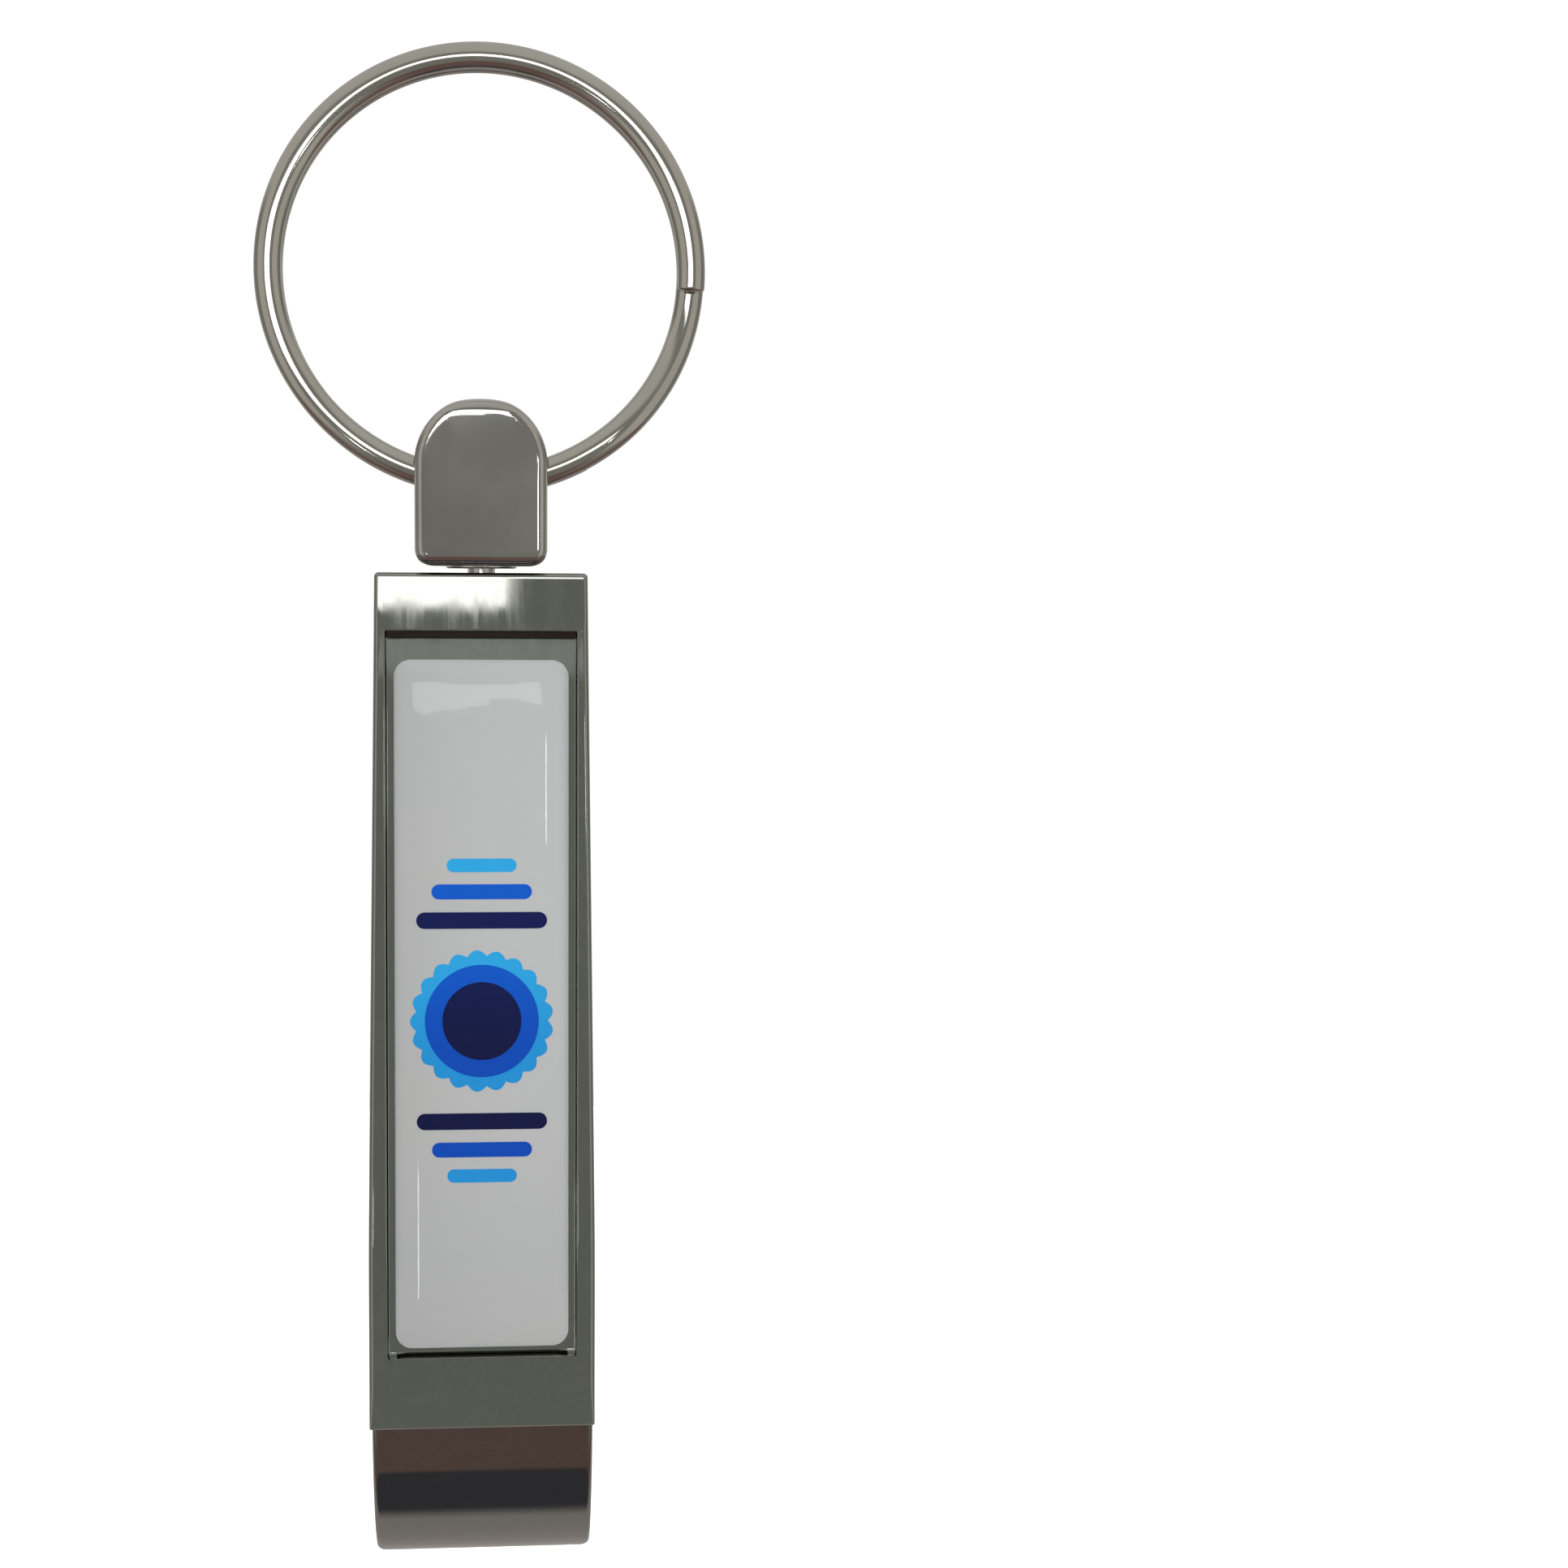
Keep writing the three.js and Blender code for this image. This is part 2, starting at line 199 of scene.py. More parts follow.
def piece(name, mesh, body, material, replaces=()):
    """A finished piece on its body, with its material; the CAD parts it replaces are hidden."""
    thing = bpy.data.objects.new(name, mesh)
    bpy.context.scene.collection.objects.link(thing)
    mesh.materials.clear()
    mesh.materials.append(material)
    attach(thing, body)
    if replaces:
        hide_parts(*replaces)
    return thing


def cut_away(mesh, *cutters):
    """The mesh less each cutter mesh."""
    block = bpy.data.objects.new("block", mesh)
    bpy.context.scene.collection.objects.link(block)
    tools = []
    for cutter in cutters:
        tool = bpy.data.objects.new("cutter", cutter)
        bpy.context.scene.collection.objects.link(tool)
        tools.append(tool)
        modifier = block.modifiers.new("cut", "BOOLEAN")
        modifier.operation = "DIFFERENCE"
        modifier.solver = "EXACT"
        modifier.object = tool
    bpy.context.view_layer.update()
    depsgraph = bpy.context.evaluated_depsgraph_get()
    result = bpy.data.meshes.new_from_object(block.evaluated_get(depsgraph))
    for thing in [block, *tools]:
        bpy.data.objects.remove(thing)
    return result


def level_faces(thing):
    """Keeps large flat faces flat in the shading, right up to their rounded edges."""
    modifier = thing.modifiers.new("level faces", "WEIGHTED_NORMAL")
    modifier.keep_sharp = True
    modifier.weight = 60


def turned(profile, axis_y=0.0, segments=96):
    """A closed (radius, height) profile in metres turned about a vertical axis."""
    angles = np.linspace(0, 2 * math.pi, segments, endpoint=False)
    radius = np.array([p[0] for p in profile])
    height = np.array([p[1] for p in profile])
    x = np.cos(angles)[:, None] * radius[None]
    y = np.sin(angles)[:, None] * radius[None] + axis_y
    z = np.broadcast_to(height[None], x.shape)
    skin = Skin()
    skin.grid(np.stack([x, y, z], axis=2), wrap_rows=True, wrap_columns=True)
    return skin.mesh("turned")


def arc(centre, radius, start_deg, end_deg, steps):
    angles = np.radians(np.linspace(start_deg, end_deg, steps + 1))
    return [(centre[0] + radius * math.cos(a), centre[1] + radius * math.sin(a)) for a in angles]


# ---------------------------------------------------------------- node materials

class Graph:
    """Shader nodes by short calls: a socket or a plain number goes wherever a value is wanted."""

    def __init__(self, tree):
        self.tree = tree
        tree.nodes.clear()

    def node(self, kind, inputs=None, **settings):
        node = self.tree.nodes.new(kind)
        for key, value in settings.items():
            setattr(node, key, value)
        for key, value in (inputs or {}).items():
            self.plug(node.inputs[key], value)
        return node

    def plug(self, socket, value):
        if isinstance(value, bpy.types.NodeSocket):
            self.tree.links.new(value, socket)
        else:
            socket.default_value = value

    def math(self, operation, a, b=0.0, c=0.0):
        return self.node("ShaderNodeMath", {0: a, 1: b, 2: c}, operation=operation).outputs[0]

    def mix(self, factor, a, b):
        node = self.node("ShaderNodeMix", {0: factor, 6: a, 7: b}, data_type="RGBA")
        return node.outputs[2]

    def smooth(self, value, low, high, to_low=0.0, to_high=1.0):
        sockets = {"Value": value, "From Min": low, "From Max": high, "To Min": to_low, "To Max": to_high}
        return self.node("ShaderNodeMapRange", sockets, interpolation_type="SMOOTHSTEP").outputs[0]

    def place(self):
        return self.node("ShaderNodeTexCoord").outputs["Object"]

    def split(self, vector):
        return self.node("ShaderNodeSeparateXYZ", {0: vector}).outputs

    def join(self, x, y, z):
        return self.node("ShaderNodeCombineXYZ", {0: x, 1: y, 2: z}).outputs[0]

    def stretch(self, vector, scale):
        return self.node("ShaderNodeMapping", {"Vector": vector, "Scale": scale}).outputs[0]

    def noise(self, vector, scale, detail=2.0, roughness=0.5, distortion=0.0):
        sockets = {"Vector": vector, "Scale": scale, "Detail": detail, "Roughness": roughness,
                   "Distortion": distortion}
        return self.node("ShaderNodeTexNoise", sockets).outputs[0]

    def bump(self, height, distance, strength=1.0, normal=None):
        node = self.node("ShaderNodeBump", {"Height": height, "Distance": distance, "Strength": strength})
        if normal is not None:
            self.plug(node.inputs["Normal"], normal)
        return node.outputs[0]

    def surface(self, shader):
        self.node("ShaderNodeOutputMaterial", {"Surface": shader})


def new_material(name):
    material = bpy.data.materials.new(name)
    material.use_nodes = True
    return material, Graph(material.node_tree)


def polished_metal(name, colour, stain, roughness, ripple, scratches, grain):
    """Plated or turned metal: stained, patchily polished, rippled, with fine scratches along its grain."""
    material, g = new_material(name)
    place = g.place()
    patches = g.noise(place, 160, 4, 0.6)
    hairs = g.noise(g.stretch(place, grain), 900, 3, 0.7)
    tone = g.mix(g.smooth(patches, 0.35, 0.7), (*colour, 1), (*stain, 1))
    polish = g.math("MULTIPLY_ADD", hairs, roughness * 0.5, roughness * 0.6)
    slow = g.bump(g.noise(place, 140, 1, 0.4), ripple * MM)
    fine = g.bump(hairs, scratches * MM, 1.0, slow)
    shader = g.node("ShaderNodeBsdfPrincipled", {
        "Base Color": tone, "Metallic": 1.0, "Roughness": polish, "Normal": fine,
    })
    g.surface(shader.outputs[0])
    return material


def ring_metal():
    """Bright nickel on drawn wire: the die's lines run round the ring."""
    material, g = new_material("bright_nickel")
    place = g.place()
    x, y, z = g.split(place)
    z_ring = g.math("SUBTRACT", z, (ring_lo.z + ring_hi.z) / 2)
    radius = g.math("SQRT", g.math("ADD", g.math("MULTIPLY", x, x), g.math("MULTIPLY", z_ring, z_ring)))
    turn = g.math("MULTIPLY", g.math("ARCTAN2", z_ring, x), 0.0006)
    drawn = g.noise(g.join(radius, y, turn), 5200, 3, 0.6)
    patches = g.noise(place, 220, 3, 0.55)
    tone = g.mix(patches, (0.36, 0.345, 0.315, 1), (0.44, 0.425, 0.395, 1))
    polish = g.smooth(drawn, 0.2, 0.8, 0.06, 0.12)
    normal = g.bump(drawn, 0.0001 * MM, 1.0, g.bump(patches, 0.003 * MM))
    shader = g.node("ShaderNodeBsdfPrincipled", {
        "Base Color": tone, "Metallic": 1.0, "Roughness": polish, "Normal": normal,
    })
    g.surface(shader.outputs[0])
    return material


def casting_metal():
    """Black nickel on a polished die casting: a dark mirror, with a painted reflection of a wood grain as
    darker wavy lines in its colour.
    """
    material, g = new_material("black_nickel")
    place = g.place()
    # Painted reflection: wavy lines like a reflected wood grain, darkened into the colour below.
    reflected_wood_flow = g.noise(g.stretch(place, (1.0, 2.2, 0.55)), 150, 3, 0.5, 1.6)
    lines = g.math("PINGPONG", g.math("MULTIPLY", reflected_wood_flow, 9.0), 0.5)
    grain = g.smooth(lines, 0.0, 0.3)
    cloud = g.noise(place, 90, 3, 0.55)
    dark = g.mix(cloud, (0.262, 0.272, 0.250, 1), (0.300, 0.308, 0.288, 1))
    # The painted reflection's wavy lines darken the colour here.
    tone = g.mix(g.math("MULTIPLY", grain, 0.4), dark, (0.244, 0.254, 0.234, 1))
    hairs = g.noise(g.stretch(place, (1, 1, 0.05)), 1500, 3, 0.65)
    polish = g.smooth(hairs, 0.25, 0.8, 0.015, 0.05)
    slow = g.bump(g.noise(place, 170, 2, 0.45), 0.0007 * MM)
    fine = g.bump(hairs, 0.0001 * MM, 1.0, slow)
    shader = g.node("ShaderNodeBsdfPrincipled", {
        "Base Color": tone, "Metallic": 1.0, "Roughness": polish, "Normal": fine,
    })
    g.surface(shader.outputs[0])
    return material


def vinyl():
    """White printing film: a soft satin white with a very fine orange peel."""
    material, g = new_material("white_vinyl")
    place = g.place()
    cloud = g.noise(place, 60, 3, 0.5)
    tone = g.mix(cloud, (0.625, 0.645, 0.665, 1), (0.65, 0.662, 0.675, 1))
    peel = g.noise(place, 2600, 2, 0.5)
    shader = g.node("ShaderNodeBsdfPrincipled", {
        "Base Color": tone, "Roughness": g.smooth(cloud, 0.3, 0.7, 0.42, 0.5),
        "Normal": g.bump(peel, 0.002 * MM), "IOR": 1.1,
    })
    g.surface(shader.outputs[0])
    return material


def ink(name, low, high):
    """Printed ink with a print screen's fine mottle, and painted shade that darkens it down the label."""
    material, g = new_material(name)
    place = g.place()
    height = g.split(place)[2]
    # Painted shade: the ink is lighter in the label's upper half and darker in its lower half.
    painted_shade_down = g.smooth(height, film_lo.z * 0.6 + film_hi.z * 0.4, film_lo.z * 0.4 + film_hi.z * 0.6)
    mottle = g.noise(place, 3000, 2, 0.6)
    tone = g.mix(painted_shade_down, (*low, 1), (*high, 1))
    speckled = g.mix(g.smooth(mottle, 0.55, 0.8, 0.0, 0.25), tone, (*high, 1))
    shader = g.node("ShaderNodeBsdfPrincipled", {
        "Base Color": speckled, "Roughness": g.smooth(mottle, 0.3, 0.7, 0.35, 0.45), "IOR": 1.1,
    })
    g.surface(shader.outputs[0])
    return material


def foam_tape():
    material, g = new_material("adhesive")
    place = g.place()
    cells = g.noise(place, 4000, 3, 0.7)
    shader = g.node("ShaderNodeBsdfPrincipled", {
        "Base Color": g.mix(cells, (0.42, 0.41, 0.38, 1), (0.55, 0.54, 0.5, 1)),
        "Roughness": g.smooth(cells, 0.2, 0.8, 0.55, 0.75), "Normal": g.bump(cells, 0.01 * MM),
    })
    g.surface(shader.outputs[0])
    return material


def resin():
    """Poured clear resin: it mirrors more at a glancing angle and lets the print through."""
    material, g = new_material("clear_resin")
    place = g.place()
    normal = g.bump(g.noise(place, 120, 1, 0.4), 0.004 * MM)
    fresnel = g.node("ShaderNodeFresnel", {"IOR": 1.4, "Normal": normal}).outputs[0]
    outer = g.math("SUBTRACT", 1.0, g.node("ShaderNodeNewGeometry").outputs["Backfacing"])
    mirror = g.math("MULTIPLY", fresnel, outer)
    tint = g.mix(g.noise(place, 80, 2, 0.5), (0.985, 0.99, 1.0, 1), (1.0, 1.0, 1.0, 1))
    clear = g.node("ShaderNodeBsdfTransparent", {"Color": tint}).outputs[0]
    gloss_roughness = g.smooth(g.noise(place, 700, 2, 0.5), 0.3, 0.8, 0.01, 0.03)
    gloss = g.node("ShaderNodeBsdfGlossy", {"Roughness": gloss_roughness, "Normal": normal}).outputs[0]
    shader = g.node("ShaderNodeMixShader", {0: mirror, 1: clear, 2: gloss})
    g.surface(shader.outputs[0])
    return material


BRIGHT_NICKEL = ring_metal()
EYE_NICKEL = polished_metal(
    "eye_nickel", (0.385, 0.368, 0.355), (0.45, 0.43, 0.41), 0.07, 0.006, 0.0003, (1, 1, 0.3))
STEEL = polished_metal(
    "rivet_steel", (0.50, 0.49, 0.47), (0.42, 0.41, 0.40), 0.22, 0.02, 0.002, (1, 1, 0.1))
BLACK_NICKEL = casting_metal()
VINYL = vinyl()
TAPE = foam_tape()
RESIN = resin()


# ---------------------------------------------------------------- split ring

def split_ring():
    """Two turns of oval wire with a smooth jog between them and two softly dressed cut ends."""
    outer = (ring_hi.x - ring_lo.x) / 2
    coil_r = outer - WIRE_RADIAL * MM / 2
    centre_z = ring_hi.z - outer
    pitch = ring_hi.y - ring_lo.y - WIRE_AXIAL * MM
    jog = math.radians(JOG_SPAN_DEG)
    start = math.radians(JOG_CENTRE_DEG) + jog / 2
    sweep = 4 * math.pi - jog
    steps, around = 900, 36

    t = np.linspace(0, 1, steps + 1)
    # Extra steps crowd into each end, where the cut edge is rounded over.
    end = WIRE_END_ROUND * MM / (coil_r * sweep)
    dressing = end * (1 - np.cos(np.linspace(0, math.pi / 2, 9)))
    t = np.unique(np.concatenate([dressing, t[(t > end) & (t < 1 - end)], 1 - dressing]))
    u = np.clip((t * sweep - (2 * math.pi - jog)) / jog, 0, 1)
    side = u ** 3 * (u * (6 * u - 15) + 10) - 0.5
    angle = start + t * sweep
    to_end = np.minimum(t, 1 - t) * coil_r * sweep
    rounding = np.clip(1 - to_end / (WIRE_END_ROUND * MM), 0, 1)
    inset = WIRE_END_ROUND * MM * (1 - np.sqrt(1 - rounding ** 2))

    section = np.linspace(0, 2 * math.pi, around, endpoint=False)
    across, along_axis = np.cos(section), np.sin(section)
    half_r = WIRE_RADIAL * MM / 2 - inset
    half_y = WIRE_AXIAL * MM / 2 - inset
    radius = coil_r + half_r[:, None] * across[None]
    y = (side * pitch)[:, None] + half_y[:, None] * along_axis[None] + (ring_lo.y + ring_hi.y) / 2
    x = radius * np.cos(angle)[:, None]
    z = radius * np.sin(angle)[:, None] + centre_z
    skin = Skin()
    numbers = skin.grid(np.stack([x, y, z], axis=2), wrap_columns=True)
    skin.face(numbers[0])
    skin.face(numbers[-1][::-1])
    return soften(skin.mesh("split_ring_wire"), 40)


# ---------------------------------------------------------------- swivel eye

def arch(side, height, half_w, bottom, top, corner):
    """Signed distance to a block with a half-round top and rounded lower corners."""
    rounded = np.hypot(side, height - (top - half_w)) - half_w
    across = np.abs(side) - half_w + corner
    below = bottom - height + corner
    block = np.minimum(np.maximum(across, below), 0) - corner
    block = block + np.hypot(np.maximum(across, 0), np.maximum(below, 0))
    return np.where(height > top - half_w, rounded, block)


def slab(side, height, half_w, bottom, top, corner):
    """Signed distance to a block with four rounded corners."""
    across = np.abs(side) - half_w + corner
    along = np.abs(height - (top + bottom) / 2) - (top - bottom) / 2 + corner
    inner = np.minimum(np.maximum(across, along), 0) - corner
    return inner + np.hypot(np.maximum(across, 0), np.maximum(along, 0))


def rounded_max(a, b, radius):
    """What two solids have in common, with the edge between them rounded."""
    edge = np.hypot(np.maximum(a + radius, 0), np.maximum(b + radius, 0))
    return np.minimum(np.maximum(a, b), -radius) + edge


def crossing(inside, outside, field):
    """Where the field changes sign between two stacks of points, by halving."""
    for _ in range(36):
        middle = (inside + outside) / 2
        solid = (field(middle) < 0)[..., None]
        inside = np.where(solid, middle, inside)
        outside = np.where(solid, outside, middle)
    return (inside + outside) / 2


def swivel_eye():
    """A cast eye: an arch-shaped block with crowned faces and a round-topped hole with soft mouths."""
    half_w = (eye_hi.x - eye_lo.x) / 2
    half_d = (eye_hi.y - eye_lo.y) / 2
    bottom, top = eye_lo.z, eye_hi.z
    floor = bottom + EYE_FLOOR_T * MM
    hole_top = floor + EYE_HOLE_H * MM
    hole_half = EYE_HOLE_W * MM / 2

    def outside_face(p):
        lean = EYE_DRAFT * (top - p[..., 2])
        barrel = EYE_CROWN * MM * (p[..., 0] / half_w) ** 2
        side = np.abs(p[..., 1]) + lean + barrel
        return slab(side, p[..., 2], half_d, bottom, top, EYE_CORNER_SIDE * MM)

    def hole(p):
        return arch(p[..., 1], p[..., 2], hole_half, floor, hole_top, EYE_HOLE_CORNER * MM)

    def casting(p):
        ends = arch(p[..., 0], p[..., 2], half_w, bottom, top, EYE_CORNER_FRONT * MM)
        outer = rounded_max(ends, outside_face(p), EYE_EDGE_R * MM)
        return rounded_max(outer, -hole(p), EYE_MOUTH_R * MM)

    loop = np.linspace(0, 2 * math.pi, 216, endpoint=False)
    spokes = np.stack([0 * loop, np.cos(loop), np.sin(loop)], axis=1)
    hub = np.array([0, 0, (floor + hole_top) / 2])
    rim = crossing(hub + 0 * spokes, hub + spokes * 8 * MM, hole)
    shell = crossing(rim, hub + spokes * 9 * MM, outside_face)
    middle = ((rim + shell) / 2)[:, None]
    half_wall = (np.linalg.norm(shell - rim, axis=1) / 2)[:, None, None]
    section = np.linspace(0, 2 * math.pi, 128, endpoint=False)[None, :, None]
    reach = np.cos(section) * half_w * np.array([1.0, 0, 0]) + np.sin(section) * half_wall * spokes[:, None]
    points = crossing(middle + 0 * reach, middle + 1.9 * reach, casting)

    skin = Skin()
    skin.grid(points, wrap_rows=True, wrap_columns=True)
    seat_top = washer_hi.z + RUNNING_GAP * MM
    seat_r = washer_hi.x + RUNNING_GAP * MM
    below = bottom - 1 * MM
    seat = turned([(0, below), (seat_r, below), (seat_r, seat_top), (0, seat_top)])
    bore_r = SHANK_BORE_R * MM
    bore_top = floor + 1 * MM
    bore = turned([(0, below), (bore_r, below), (bore_r, bore_top), (0, bore_top)])
    return soften(cut_away(skin.mesh("swivel_eye_casting"), seat, bore), 42)


# ---------------------------------------------------------------- rivet and washer

def rivet():
    """A domed head in the eye, a shank through the bores, and a peened tail under the label."""
    shank = SHANK_R * MM
    head_r = rivet_hi.x
    head_seat = eye_lo.z + (EYE_FLOOR_T + RUNNING_GAP) * MM
    head_h = rivet_hi.z - head_seat
    tail_top = body_hi.z - (RELIEF_TOP + RUNNING_GAP) * MM
    tail_h = tail_top - rivet_lo.z
    tail_r = RIVET_TAIL_R * MM
    chamfer = RIVET_CHAMFER * MM
    profile = [(0, rivet_lo.z)]
    profile += [(tail_r * math.sin(a), tail_top - tail_h * (0.35 + 0.65 * math.cos(a)))
                for a in np.radians(np.linspace(15, 90, 8))]
    profile += [(tail_r, tail_top - chamfer), (tail_r - chamfer, tail_top), (shank, tail_top)]
    profile += [(shank, head_seat), (head_r - chamfer, head_seat), (head_r, head_seat + chamfer)]
    profile += [(head_r * math.cos(a), head_seat + chamfer + (head_h - chamfer) * math.sin(a))
                for a in np.radians(np.linspace(8, 90, 12))]
    return soften(turned(profile), 40)


def thrust_washer():
    """A stamped washer with a burr-free rounded rim."""
    inner, outer = SHANK_BORE_R * MM, washer_hi.x
    bottom, top = washer_lo.z, washer_hi.z
    r = WASHER_EDGE_R * MM
    profile = arc((outer - r, top - r), r, 90, 0, 5) + arc((outer - r, bottom + r), r, 0, -90, 5)
    profile += arc((inner + r, bottom + r), r, -90, -180, 5) + arc((inner + r, top - r), r, 180, 90, 5)
    return soften(turned(profile), 40)


# ---------------------------------------------------------------- opener casting

class SideOutline:
    """The casting's outline as (back, down) points, each with the radius of the edge beside it."""

    def __init__(self, start, edge):
        self.points = [start]
        self.edges = [edge]
        self.front = [False]

    def add(self, point, edge, front=False):
        if math.dist(point, self.points[-1]) > 1e-6:
            self.points.append((float(point[0]), float(point[1])))
            self.edges.append(edge)
            self.front.append(front)

    def line(self, point, edge, step=0.7, front=False):
        here = self.points[-1]
        count = max(1, math.ceil(math.dist(here, point) / step))
        for i in range(1, count + 1):
            part = i / count
            along = (here[0] + (point[0] - here[0]) * part, here[1] + (point[1] - here[1]) * part)
            self.add(along, edge, front)

    def turn(self, centre, radius, start_deg, end_deg, edge, step_deg=6):
        steps = max(2, math.ceil(abs(end_deg - start_deg) / step_deg))
        for point in arc(centre, radius, start_deg, end_deg, steps):
            self.add(point, edge)

    def corner(self, corner, onward, radius, edge):
        """Straight towards a corner, then round it towards the point after it."""
        here, corner, onward = Vector(self.points[-1]), Vector(corner), Vector(onward)
        into, out = (corner - here).normalized(), (onward - corner).normalized()
        turn = math.atan2(into.cross(out), into.dot(out))
        reach = radius * math.tan(abs(turn) / 2)
        first = corner - into * reach
        centre = first + Vector((-into.y, into.x)) * math.copysign(radius, turn)
        self.line(tuple(first), edge)
        begin = math.degrees(math.atan2(first.y - centre.y, first.x - centre.x))
        self.turn(tuple(centre), radius, begin, begin + math.degrees(turn), edge)

    def curve(self, controls, edge, steps=30, front=False):
        """A Bezier curve on from the last point."""
        points = [np.array(p) for p in [self.points[-1], *controls]]
        degree = len(points) - 1
        for t in np.linspace(0, 1, steps + 1)[1:]:
            place = sum(math.comb(degree, k) * t ** k * (1 - t) ** (degree - k) * p
                        for k, p in enumerate(points))
            self.add(place, edge, front)


def side_outline():
    """Once round the casting, from the top edge over the hook and back up the label face."""
    plate_edge, hook_edge, mouth_edge, thin_edge, tip_edge = 0.34, 1.0, 0.4, 0.22, 0.14
    mouth, mouth_r = (12.35, 51.2), 3.0
    slot, slot_r = (3.2, 44.2), 1.0
    jaw, nose, tooth, tooth_side = (PLATE_T, 37.55), (17.7, 45.8), (15.95, 50.15), (14.5, 49.1)
    tail_inside, tail_outside, tail_top_down = mouth[0] - mouth_r, 4.45, 55.5
    lip_down = 67.9
    outline = SideOutline((1.0, 0.0), plate_edge)
    outline.corner((PLATE_T, 0), jaw, 0.9, plate_edge)
    outline.line((PLATE_T, 30), plate_edge)
    outline.corner(jaw, nose, 5.3, hook_edge)
    outline.corner(nose, tooth, 1.8, hook_edge)
    outline.corner(tooth, tooth_side, 0.35, thin_edge)
    mouth_start = math.degrees(math.atan2(tooth_side[1] - mouth[1], tooth_side[0] - mouth[0]))
    radians = math.radians(mouth_start)
    mouth_corner = (mouth[0] + mouth_r * math.cos(radians), mouth[1] + mouth_r * math.sin(radians))
    outline.line(mouth_corner, thin_edge)
    outline.turn(mouth, mouth_r, mouth_start, -180, mouth_edge)
    outline.line((tail_inside, tail_top_down), 0.6)
    outline.curve([(tail_inside, 62), (12.6, 66.8), (17.3, 67.78)], hook_edge)
    outline.corner((HOOK_REACH, lip_down), (HOOK_REACH, BODY_L), 0.25, thin_edge)
    outline.corner((HOOK_REACH, BODY_L), (10, BODY_L), 0.9, thin_edge)
    outline.line((16.3, BODY_L), plate_edge)
    tail = [(10.4, BODY_L), (tail_outside, 62.3), (tail_outside, tail_top_down)]
    outline.curve(tail, plate_edge, steps=48)
    outline.line((slot[0] + slot_r, slot[1]), thin_edge)
    outline.turn(slot, slot_r, 0, -180, thin_edge)
    outline.line((slot[0] - slot_r, 50), thin_edge)
    outline.curve([(2.15, 54.6), (1.15, 56.95)], tip_edge, steps=14)
    outline.curve([(0.85, 57.2), (0.6, 56.9)], tip_edge, steps=8)
    add_front_face(outline, plate_edge)
    outline.corner((0, 0), (1, 0), 0.3, 0.28)
    return outline


def add_front_face(outline, edge):
    """From the plate's tip up the label face, with close rows where the recess begins and ends."""
    tip, knee, belly = (0.6, 56.9), (0, 44.5), (0.25, 50.5)
    slope_rows = np.arange(-0.12, RECESS_SLOPE_RUN + 0.13, 0.06)
    bottom_rows = [RECESS_BOTTOM - run for run in slope_rows]
    top_rows = [RECESS_TOP + run for run in slope_rows[::-1]]
    curve_rows = sorted({56, 55, 54, 53.6, *bottom_rows, 51.5, 50, 48.5, 47, 45.7, 44.5}, reverse=True)
    for down in curve_rows:
        # The quadratic's height is solved for its parameter.
        a, b, c = tip[1] - 2 * belly[1] + knee[1], 2 * (belly[1] - tip[1]), tip[1] - down
        t = (-b - math.sqrt(b * b - 4 * a * c)) / (2 * a)
        back = (1 - t) ** 2 * tip[0] + 2 * t * (1 - t) * belly[0] + t * t * knee[0]
        # The rounded edge thins towards the tip.
        outline.add((back, down), min(edge, 0.14 + (57 - down) * 0.08), front=True)
    for down in top_rows:
        outline.line((0, down), edge, step=1.5, front=True)
    outline.line((0, 0.4), 0.28, step=1.0, front=True)


def hinge(value, soft):
    """Zero below zero and the value above it, with a soft bend between."""
    bend = (value + soft) ** 2 / (4 * soft)
    return np.where(value < -soft, 0, np.where(value > soft, value, bend))


def recess_depth_down(down):
    """How deep the recess may be at this height: full depth between its two sloped ends."""
    steep = RECESS_DEPTH / RECESS_SLOPE_RUN
    ramp = steep * np.minimum(down - RECESS_TOP, RECESS_BOTTOM - down)
    return RECESS_DEPTH - hinge(RECESS_DEPTH - hinge(ramp, RECESS_BEND), RECESS_BEND)


def recess_columns():
    """(across, depth) from the rim to the middle of the recess floor."""
    r = RECESS_RIM_R
    columns = [(RECESS_HALF_W + r * (1 - math.sin(a)), r * (1 - math.cos(a)))
               for a in np.radians(np.linspace(0, 90, 5))]
    columns += [(RECESS_HALF_W - r * (1 - math.cos(a)), RECESS_DEPTH - r * (1 - math.sin(a)))
                for a in np.radians(np.linspace(0, 90, 4))]
    return columns + [(x, RECESS_DEPTH) for x in (5.2, 3.9, 2.6, 1.3)]


def half_width(down):
    """The casting widens from its top edge, then its lower corners are rounded off."""
    slope = (HALF_W - TOP_HALF_W) / TAPER_END_DOWN
    taper = (TAPER_END_DOWN - down) * slope
    narrowing = (taper + np.sqrt(taper ** 2 + TAPER_BLEND ** 2)) / 2
    low = np.clip(down - (BODY_L - LIP_CORNER), 0, LIP_CORNER)
    return HALF_W - narrowing - (LIP_CORNER - np.sqrt(LIP_CORNER ** 2 - low ** 2))


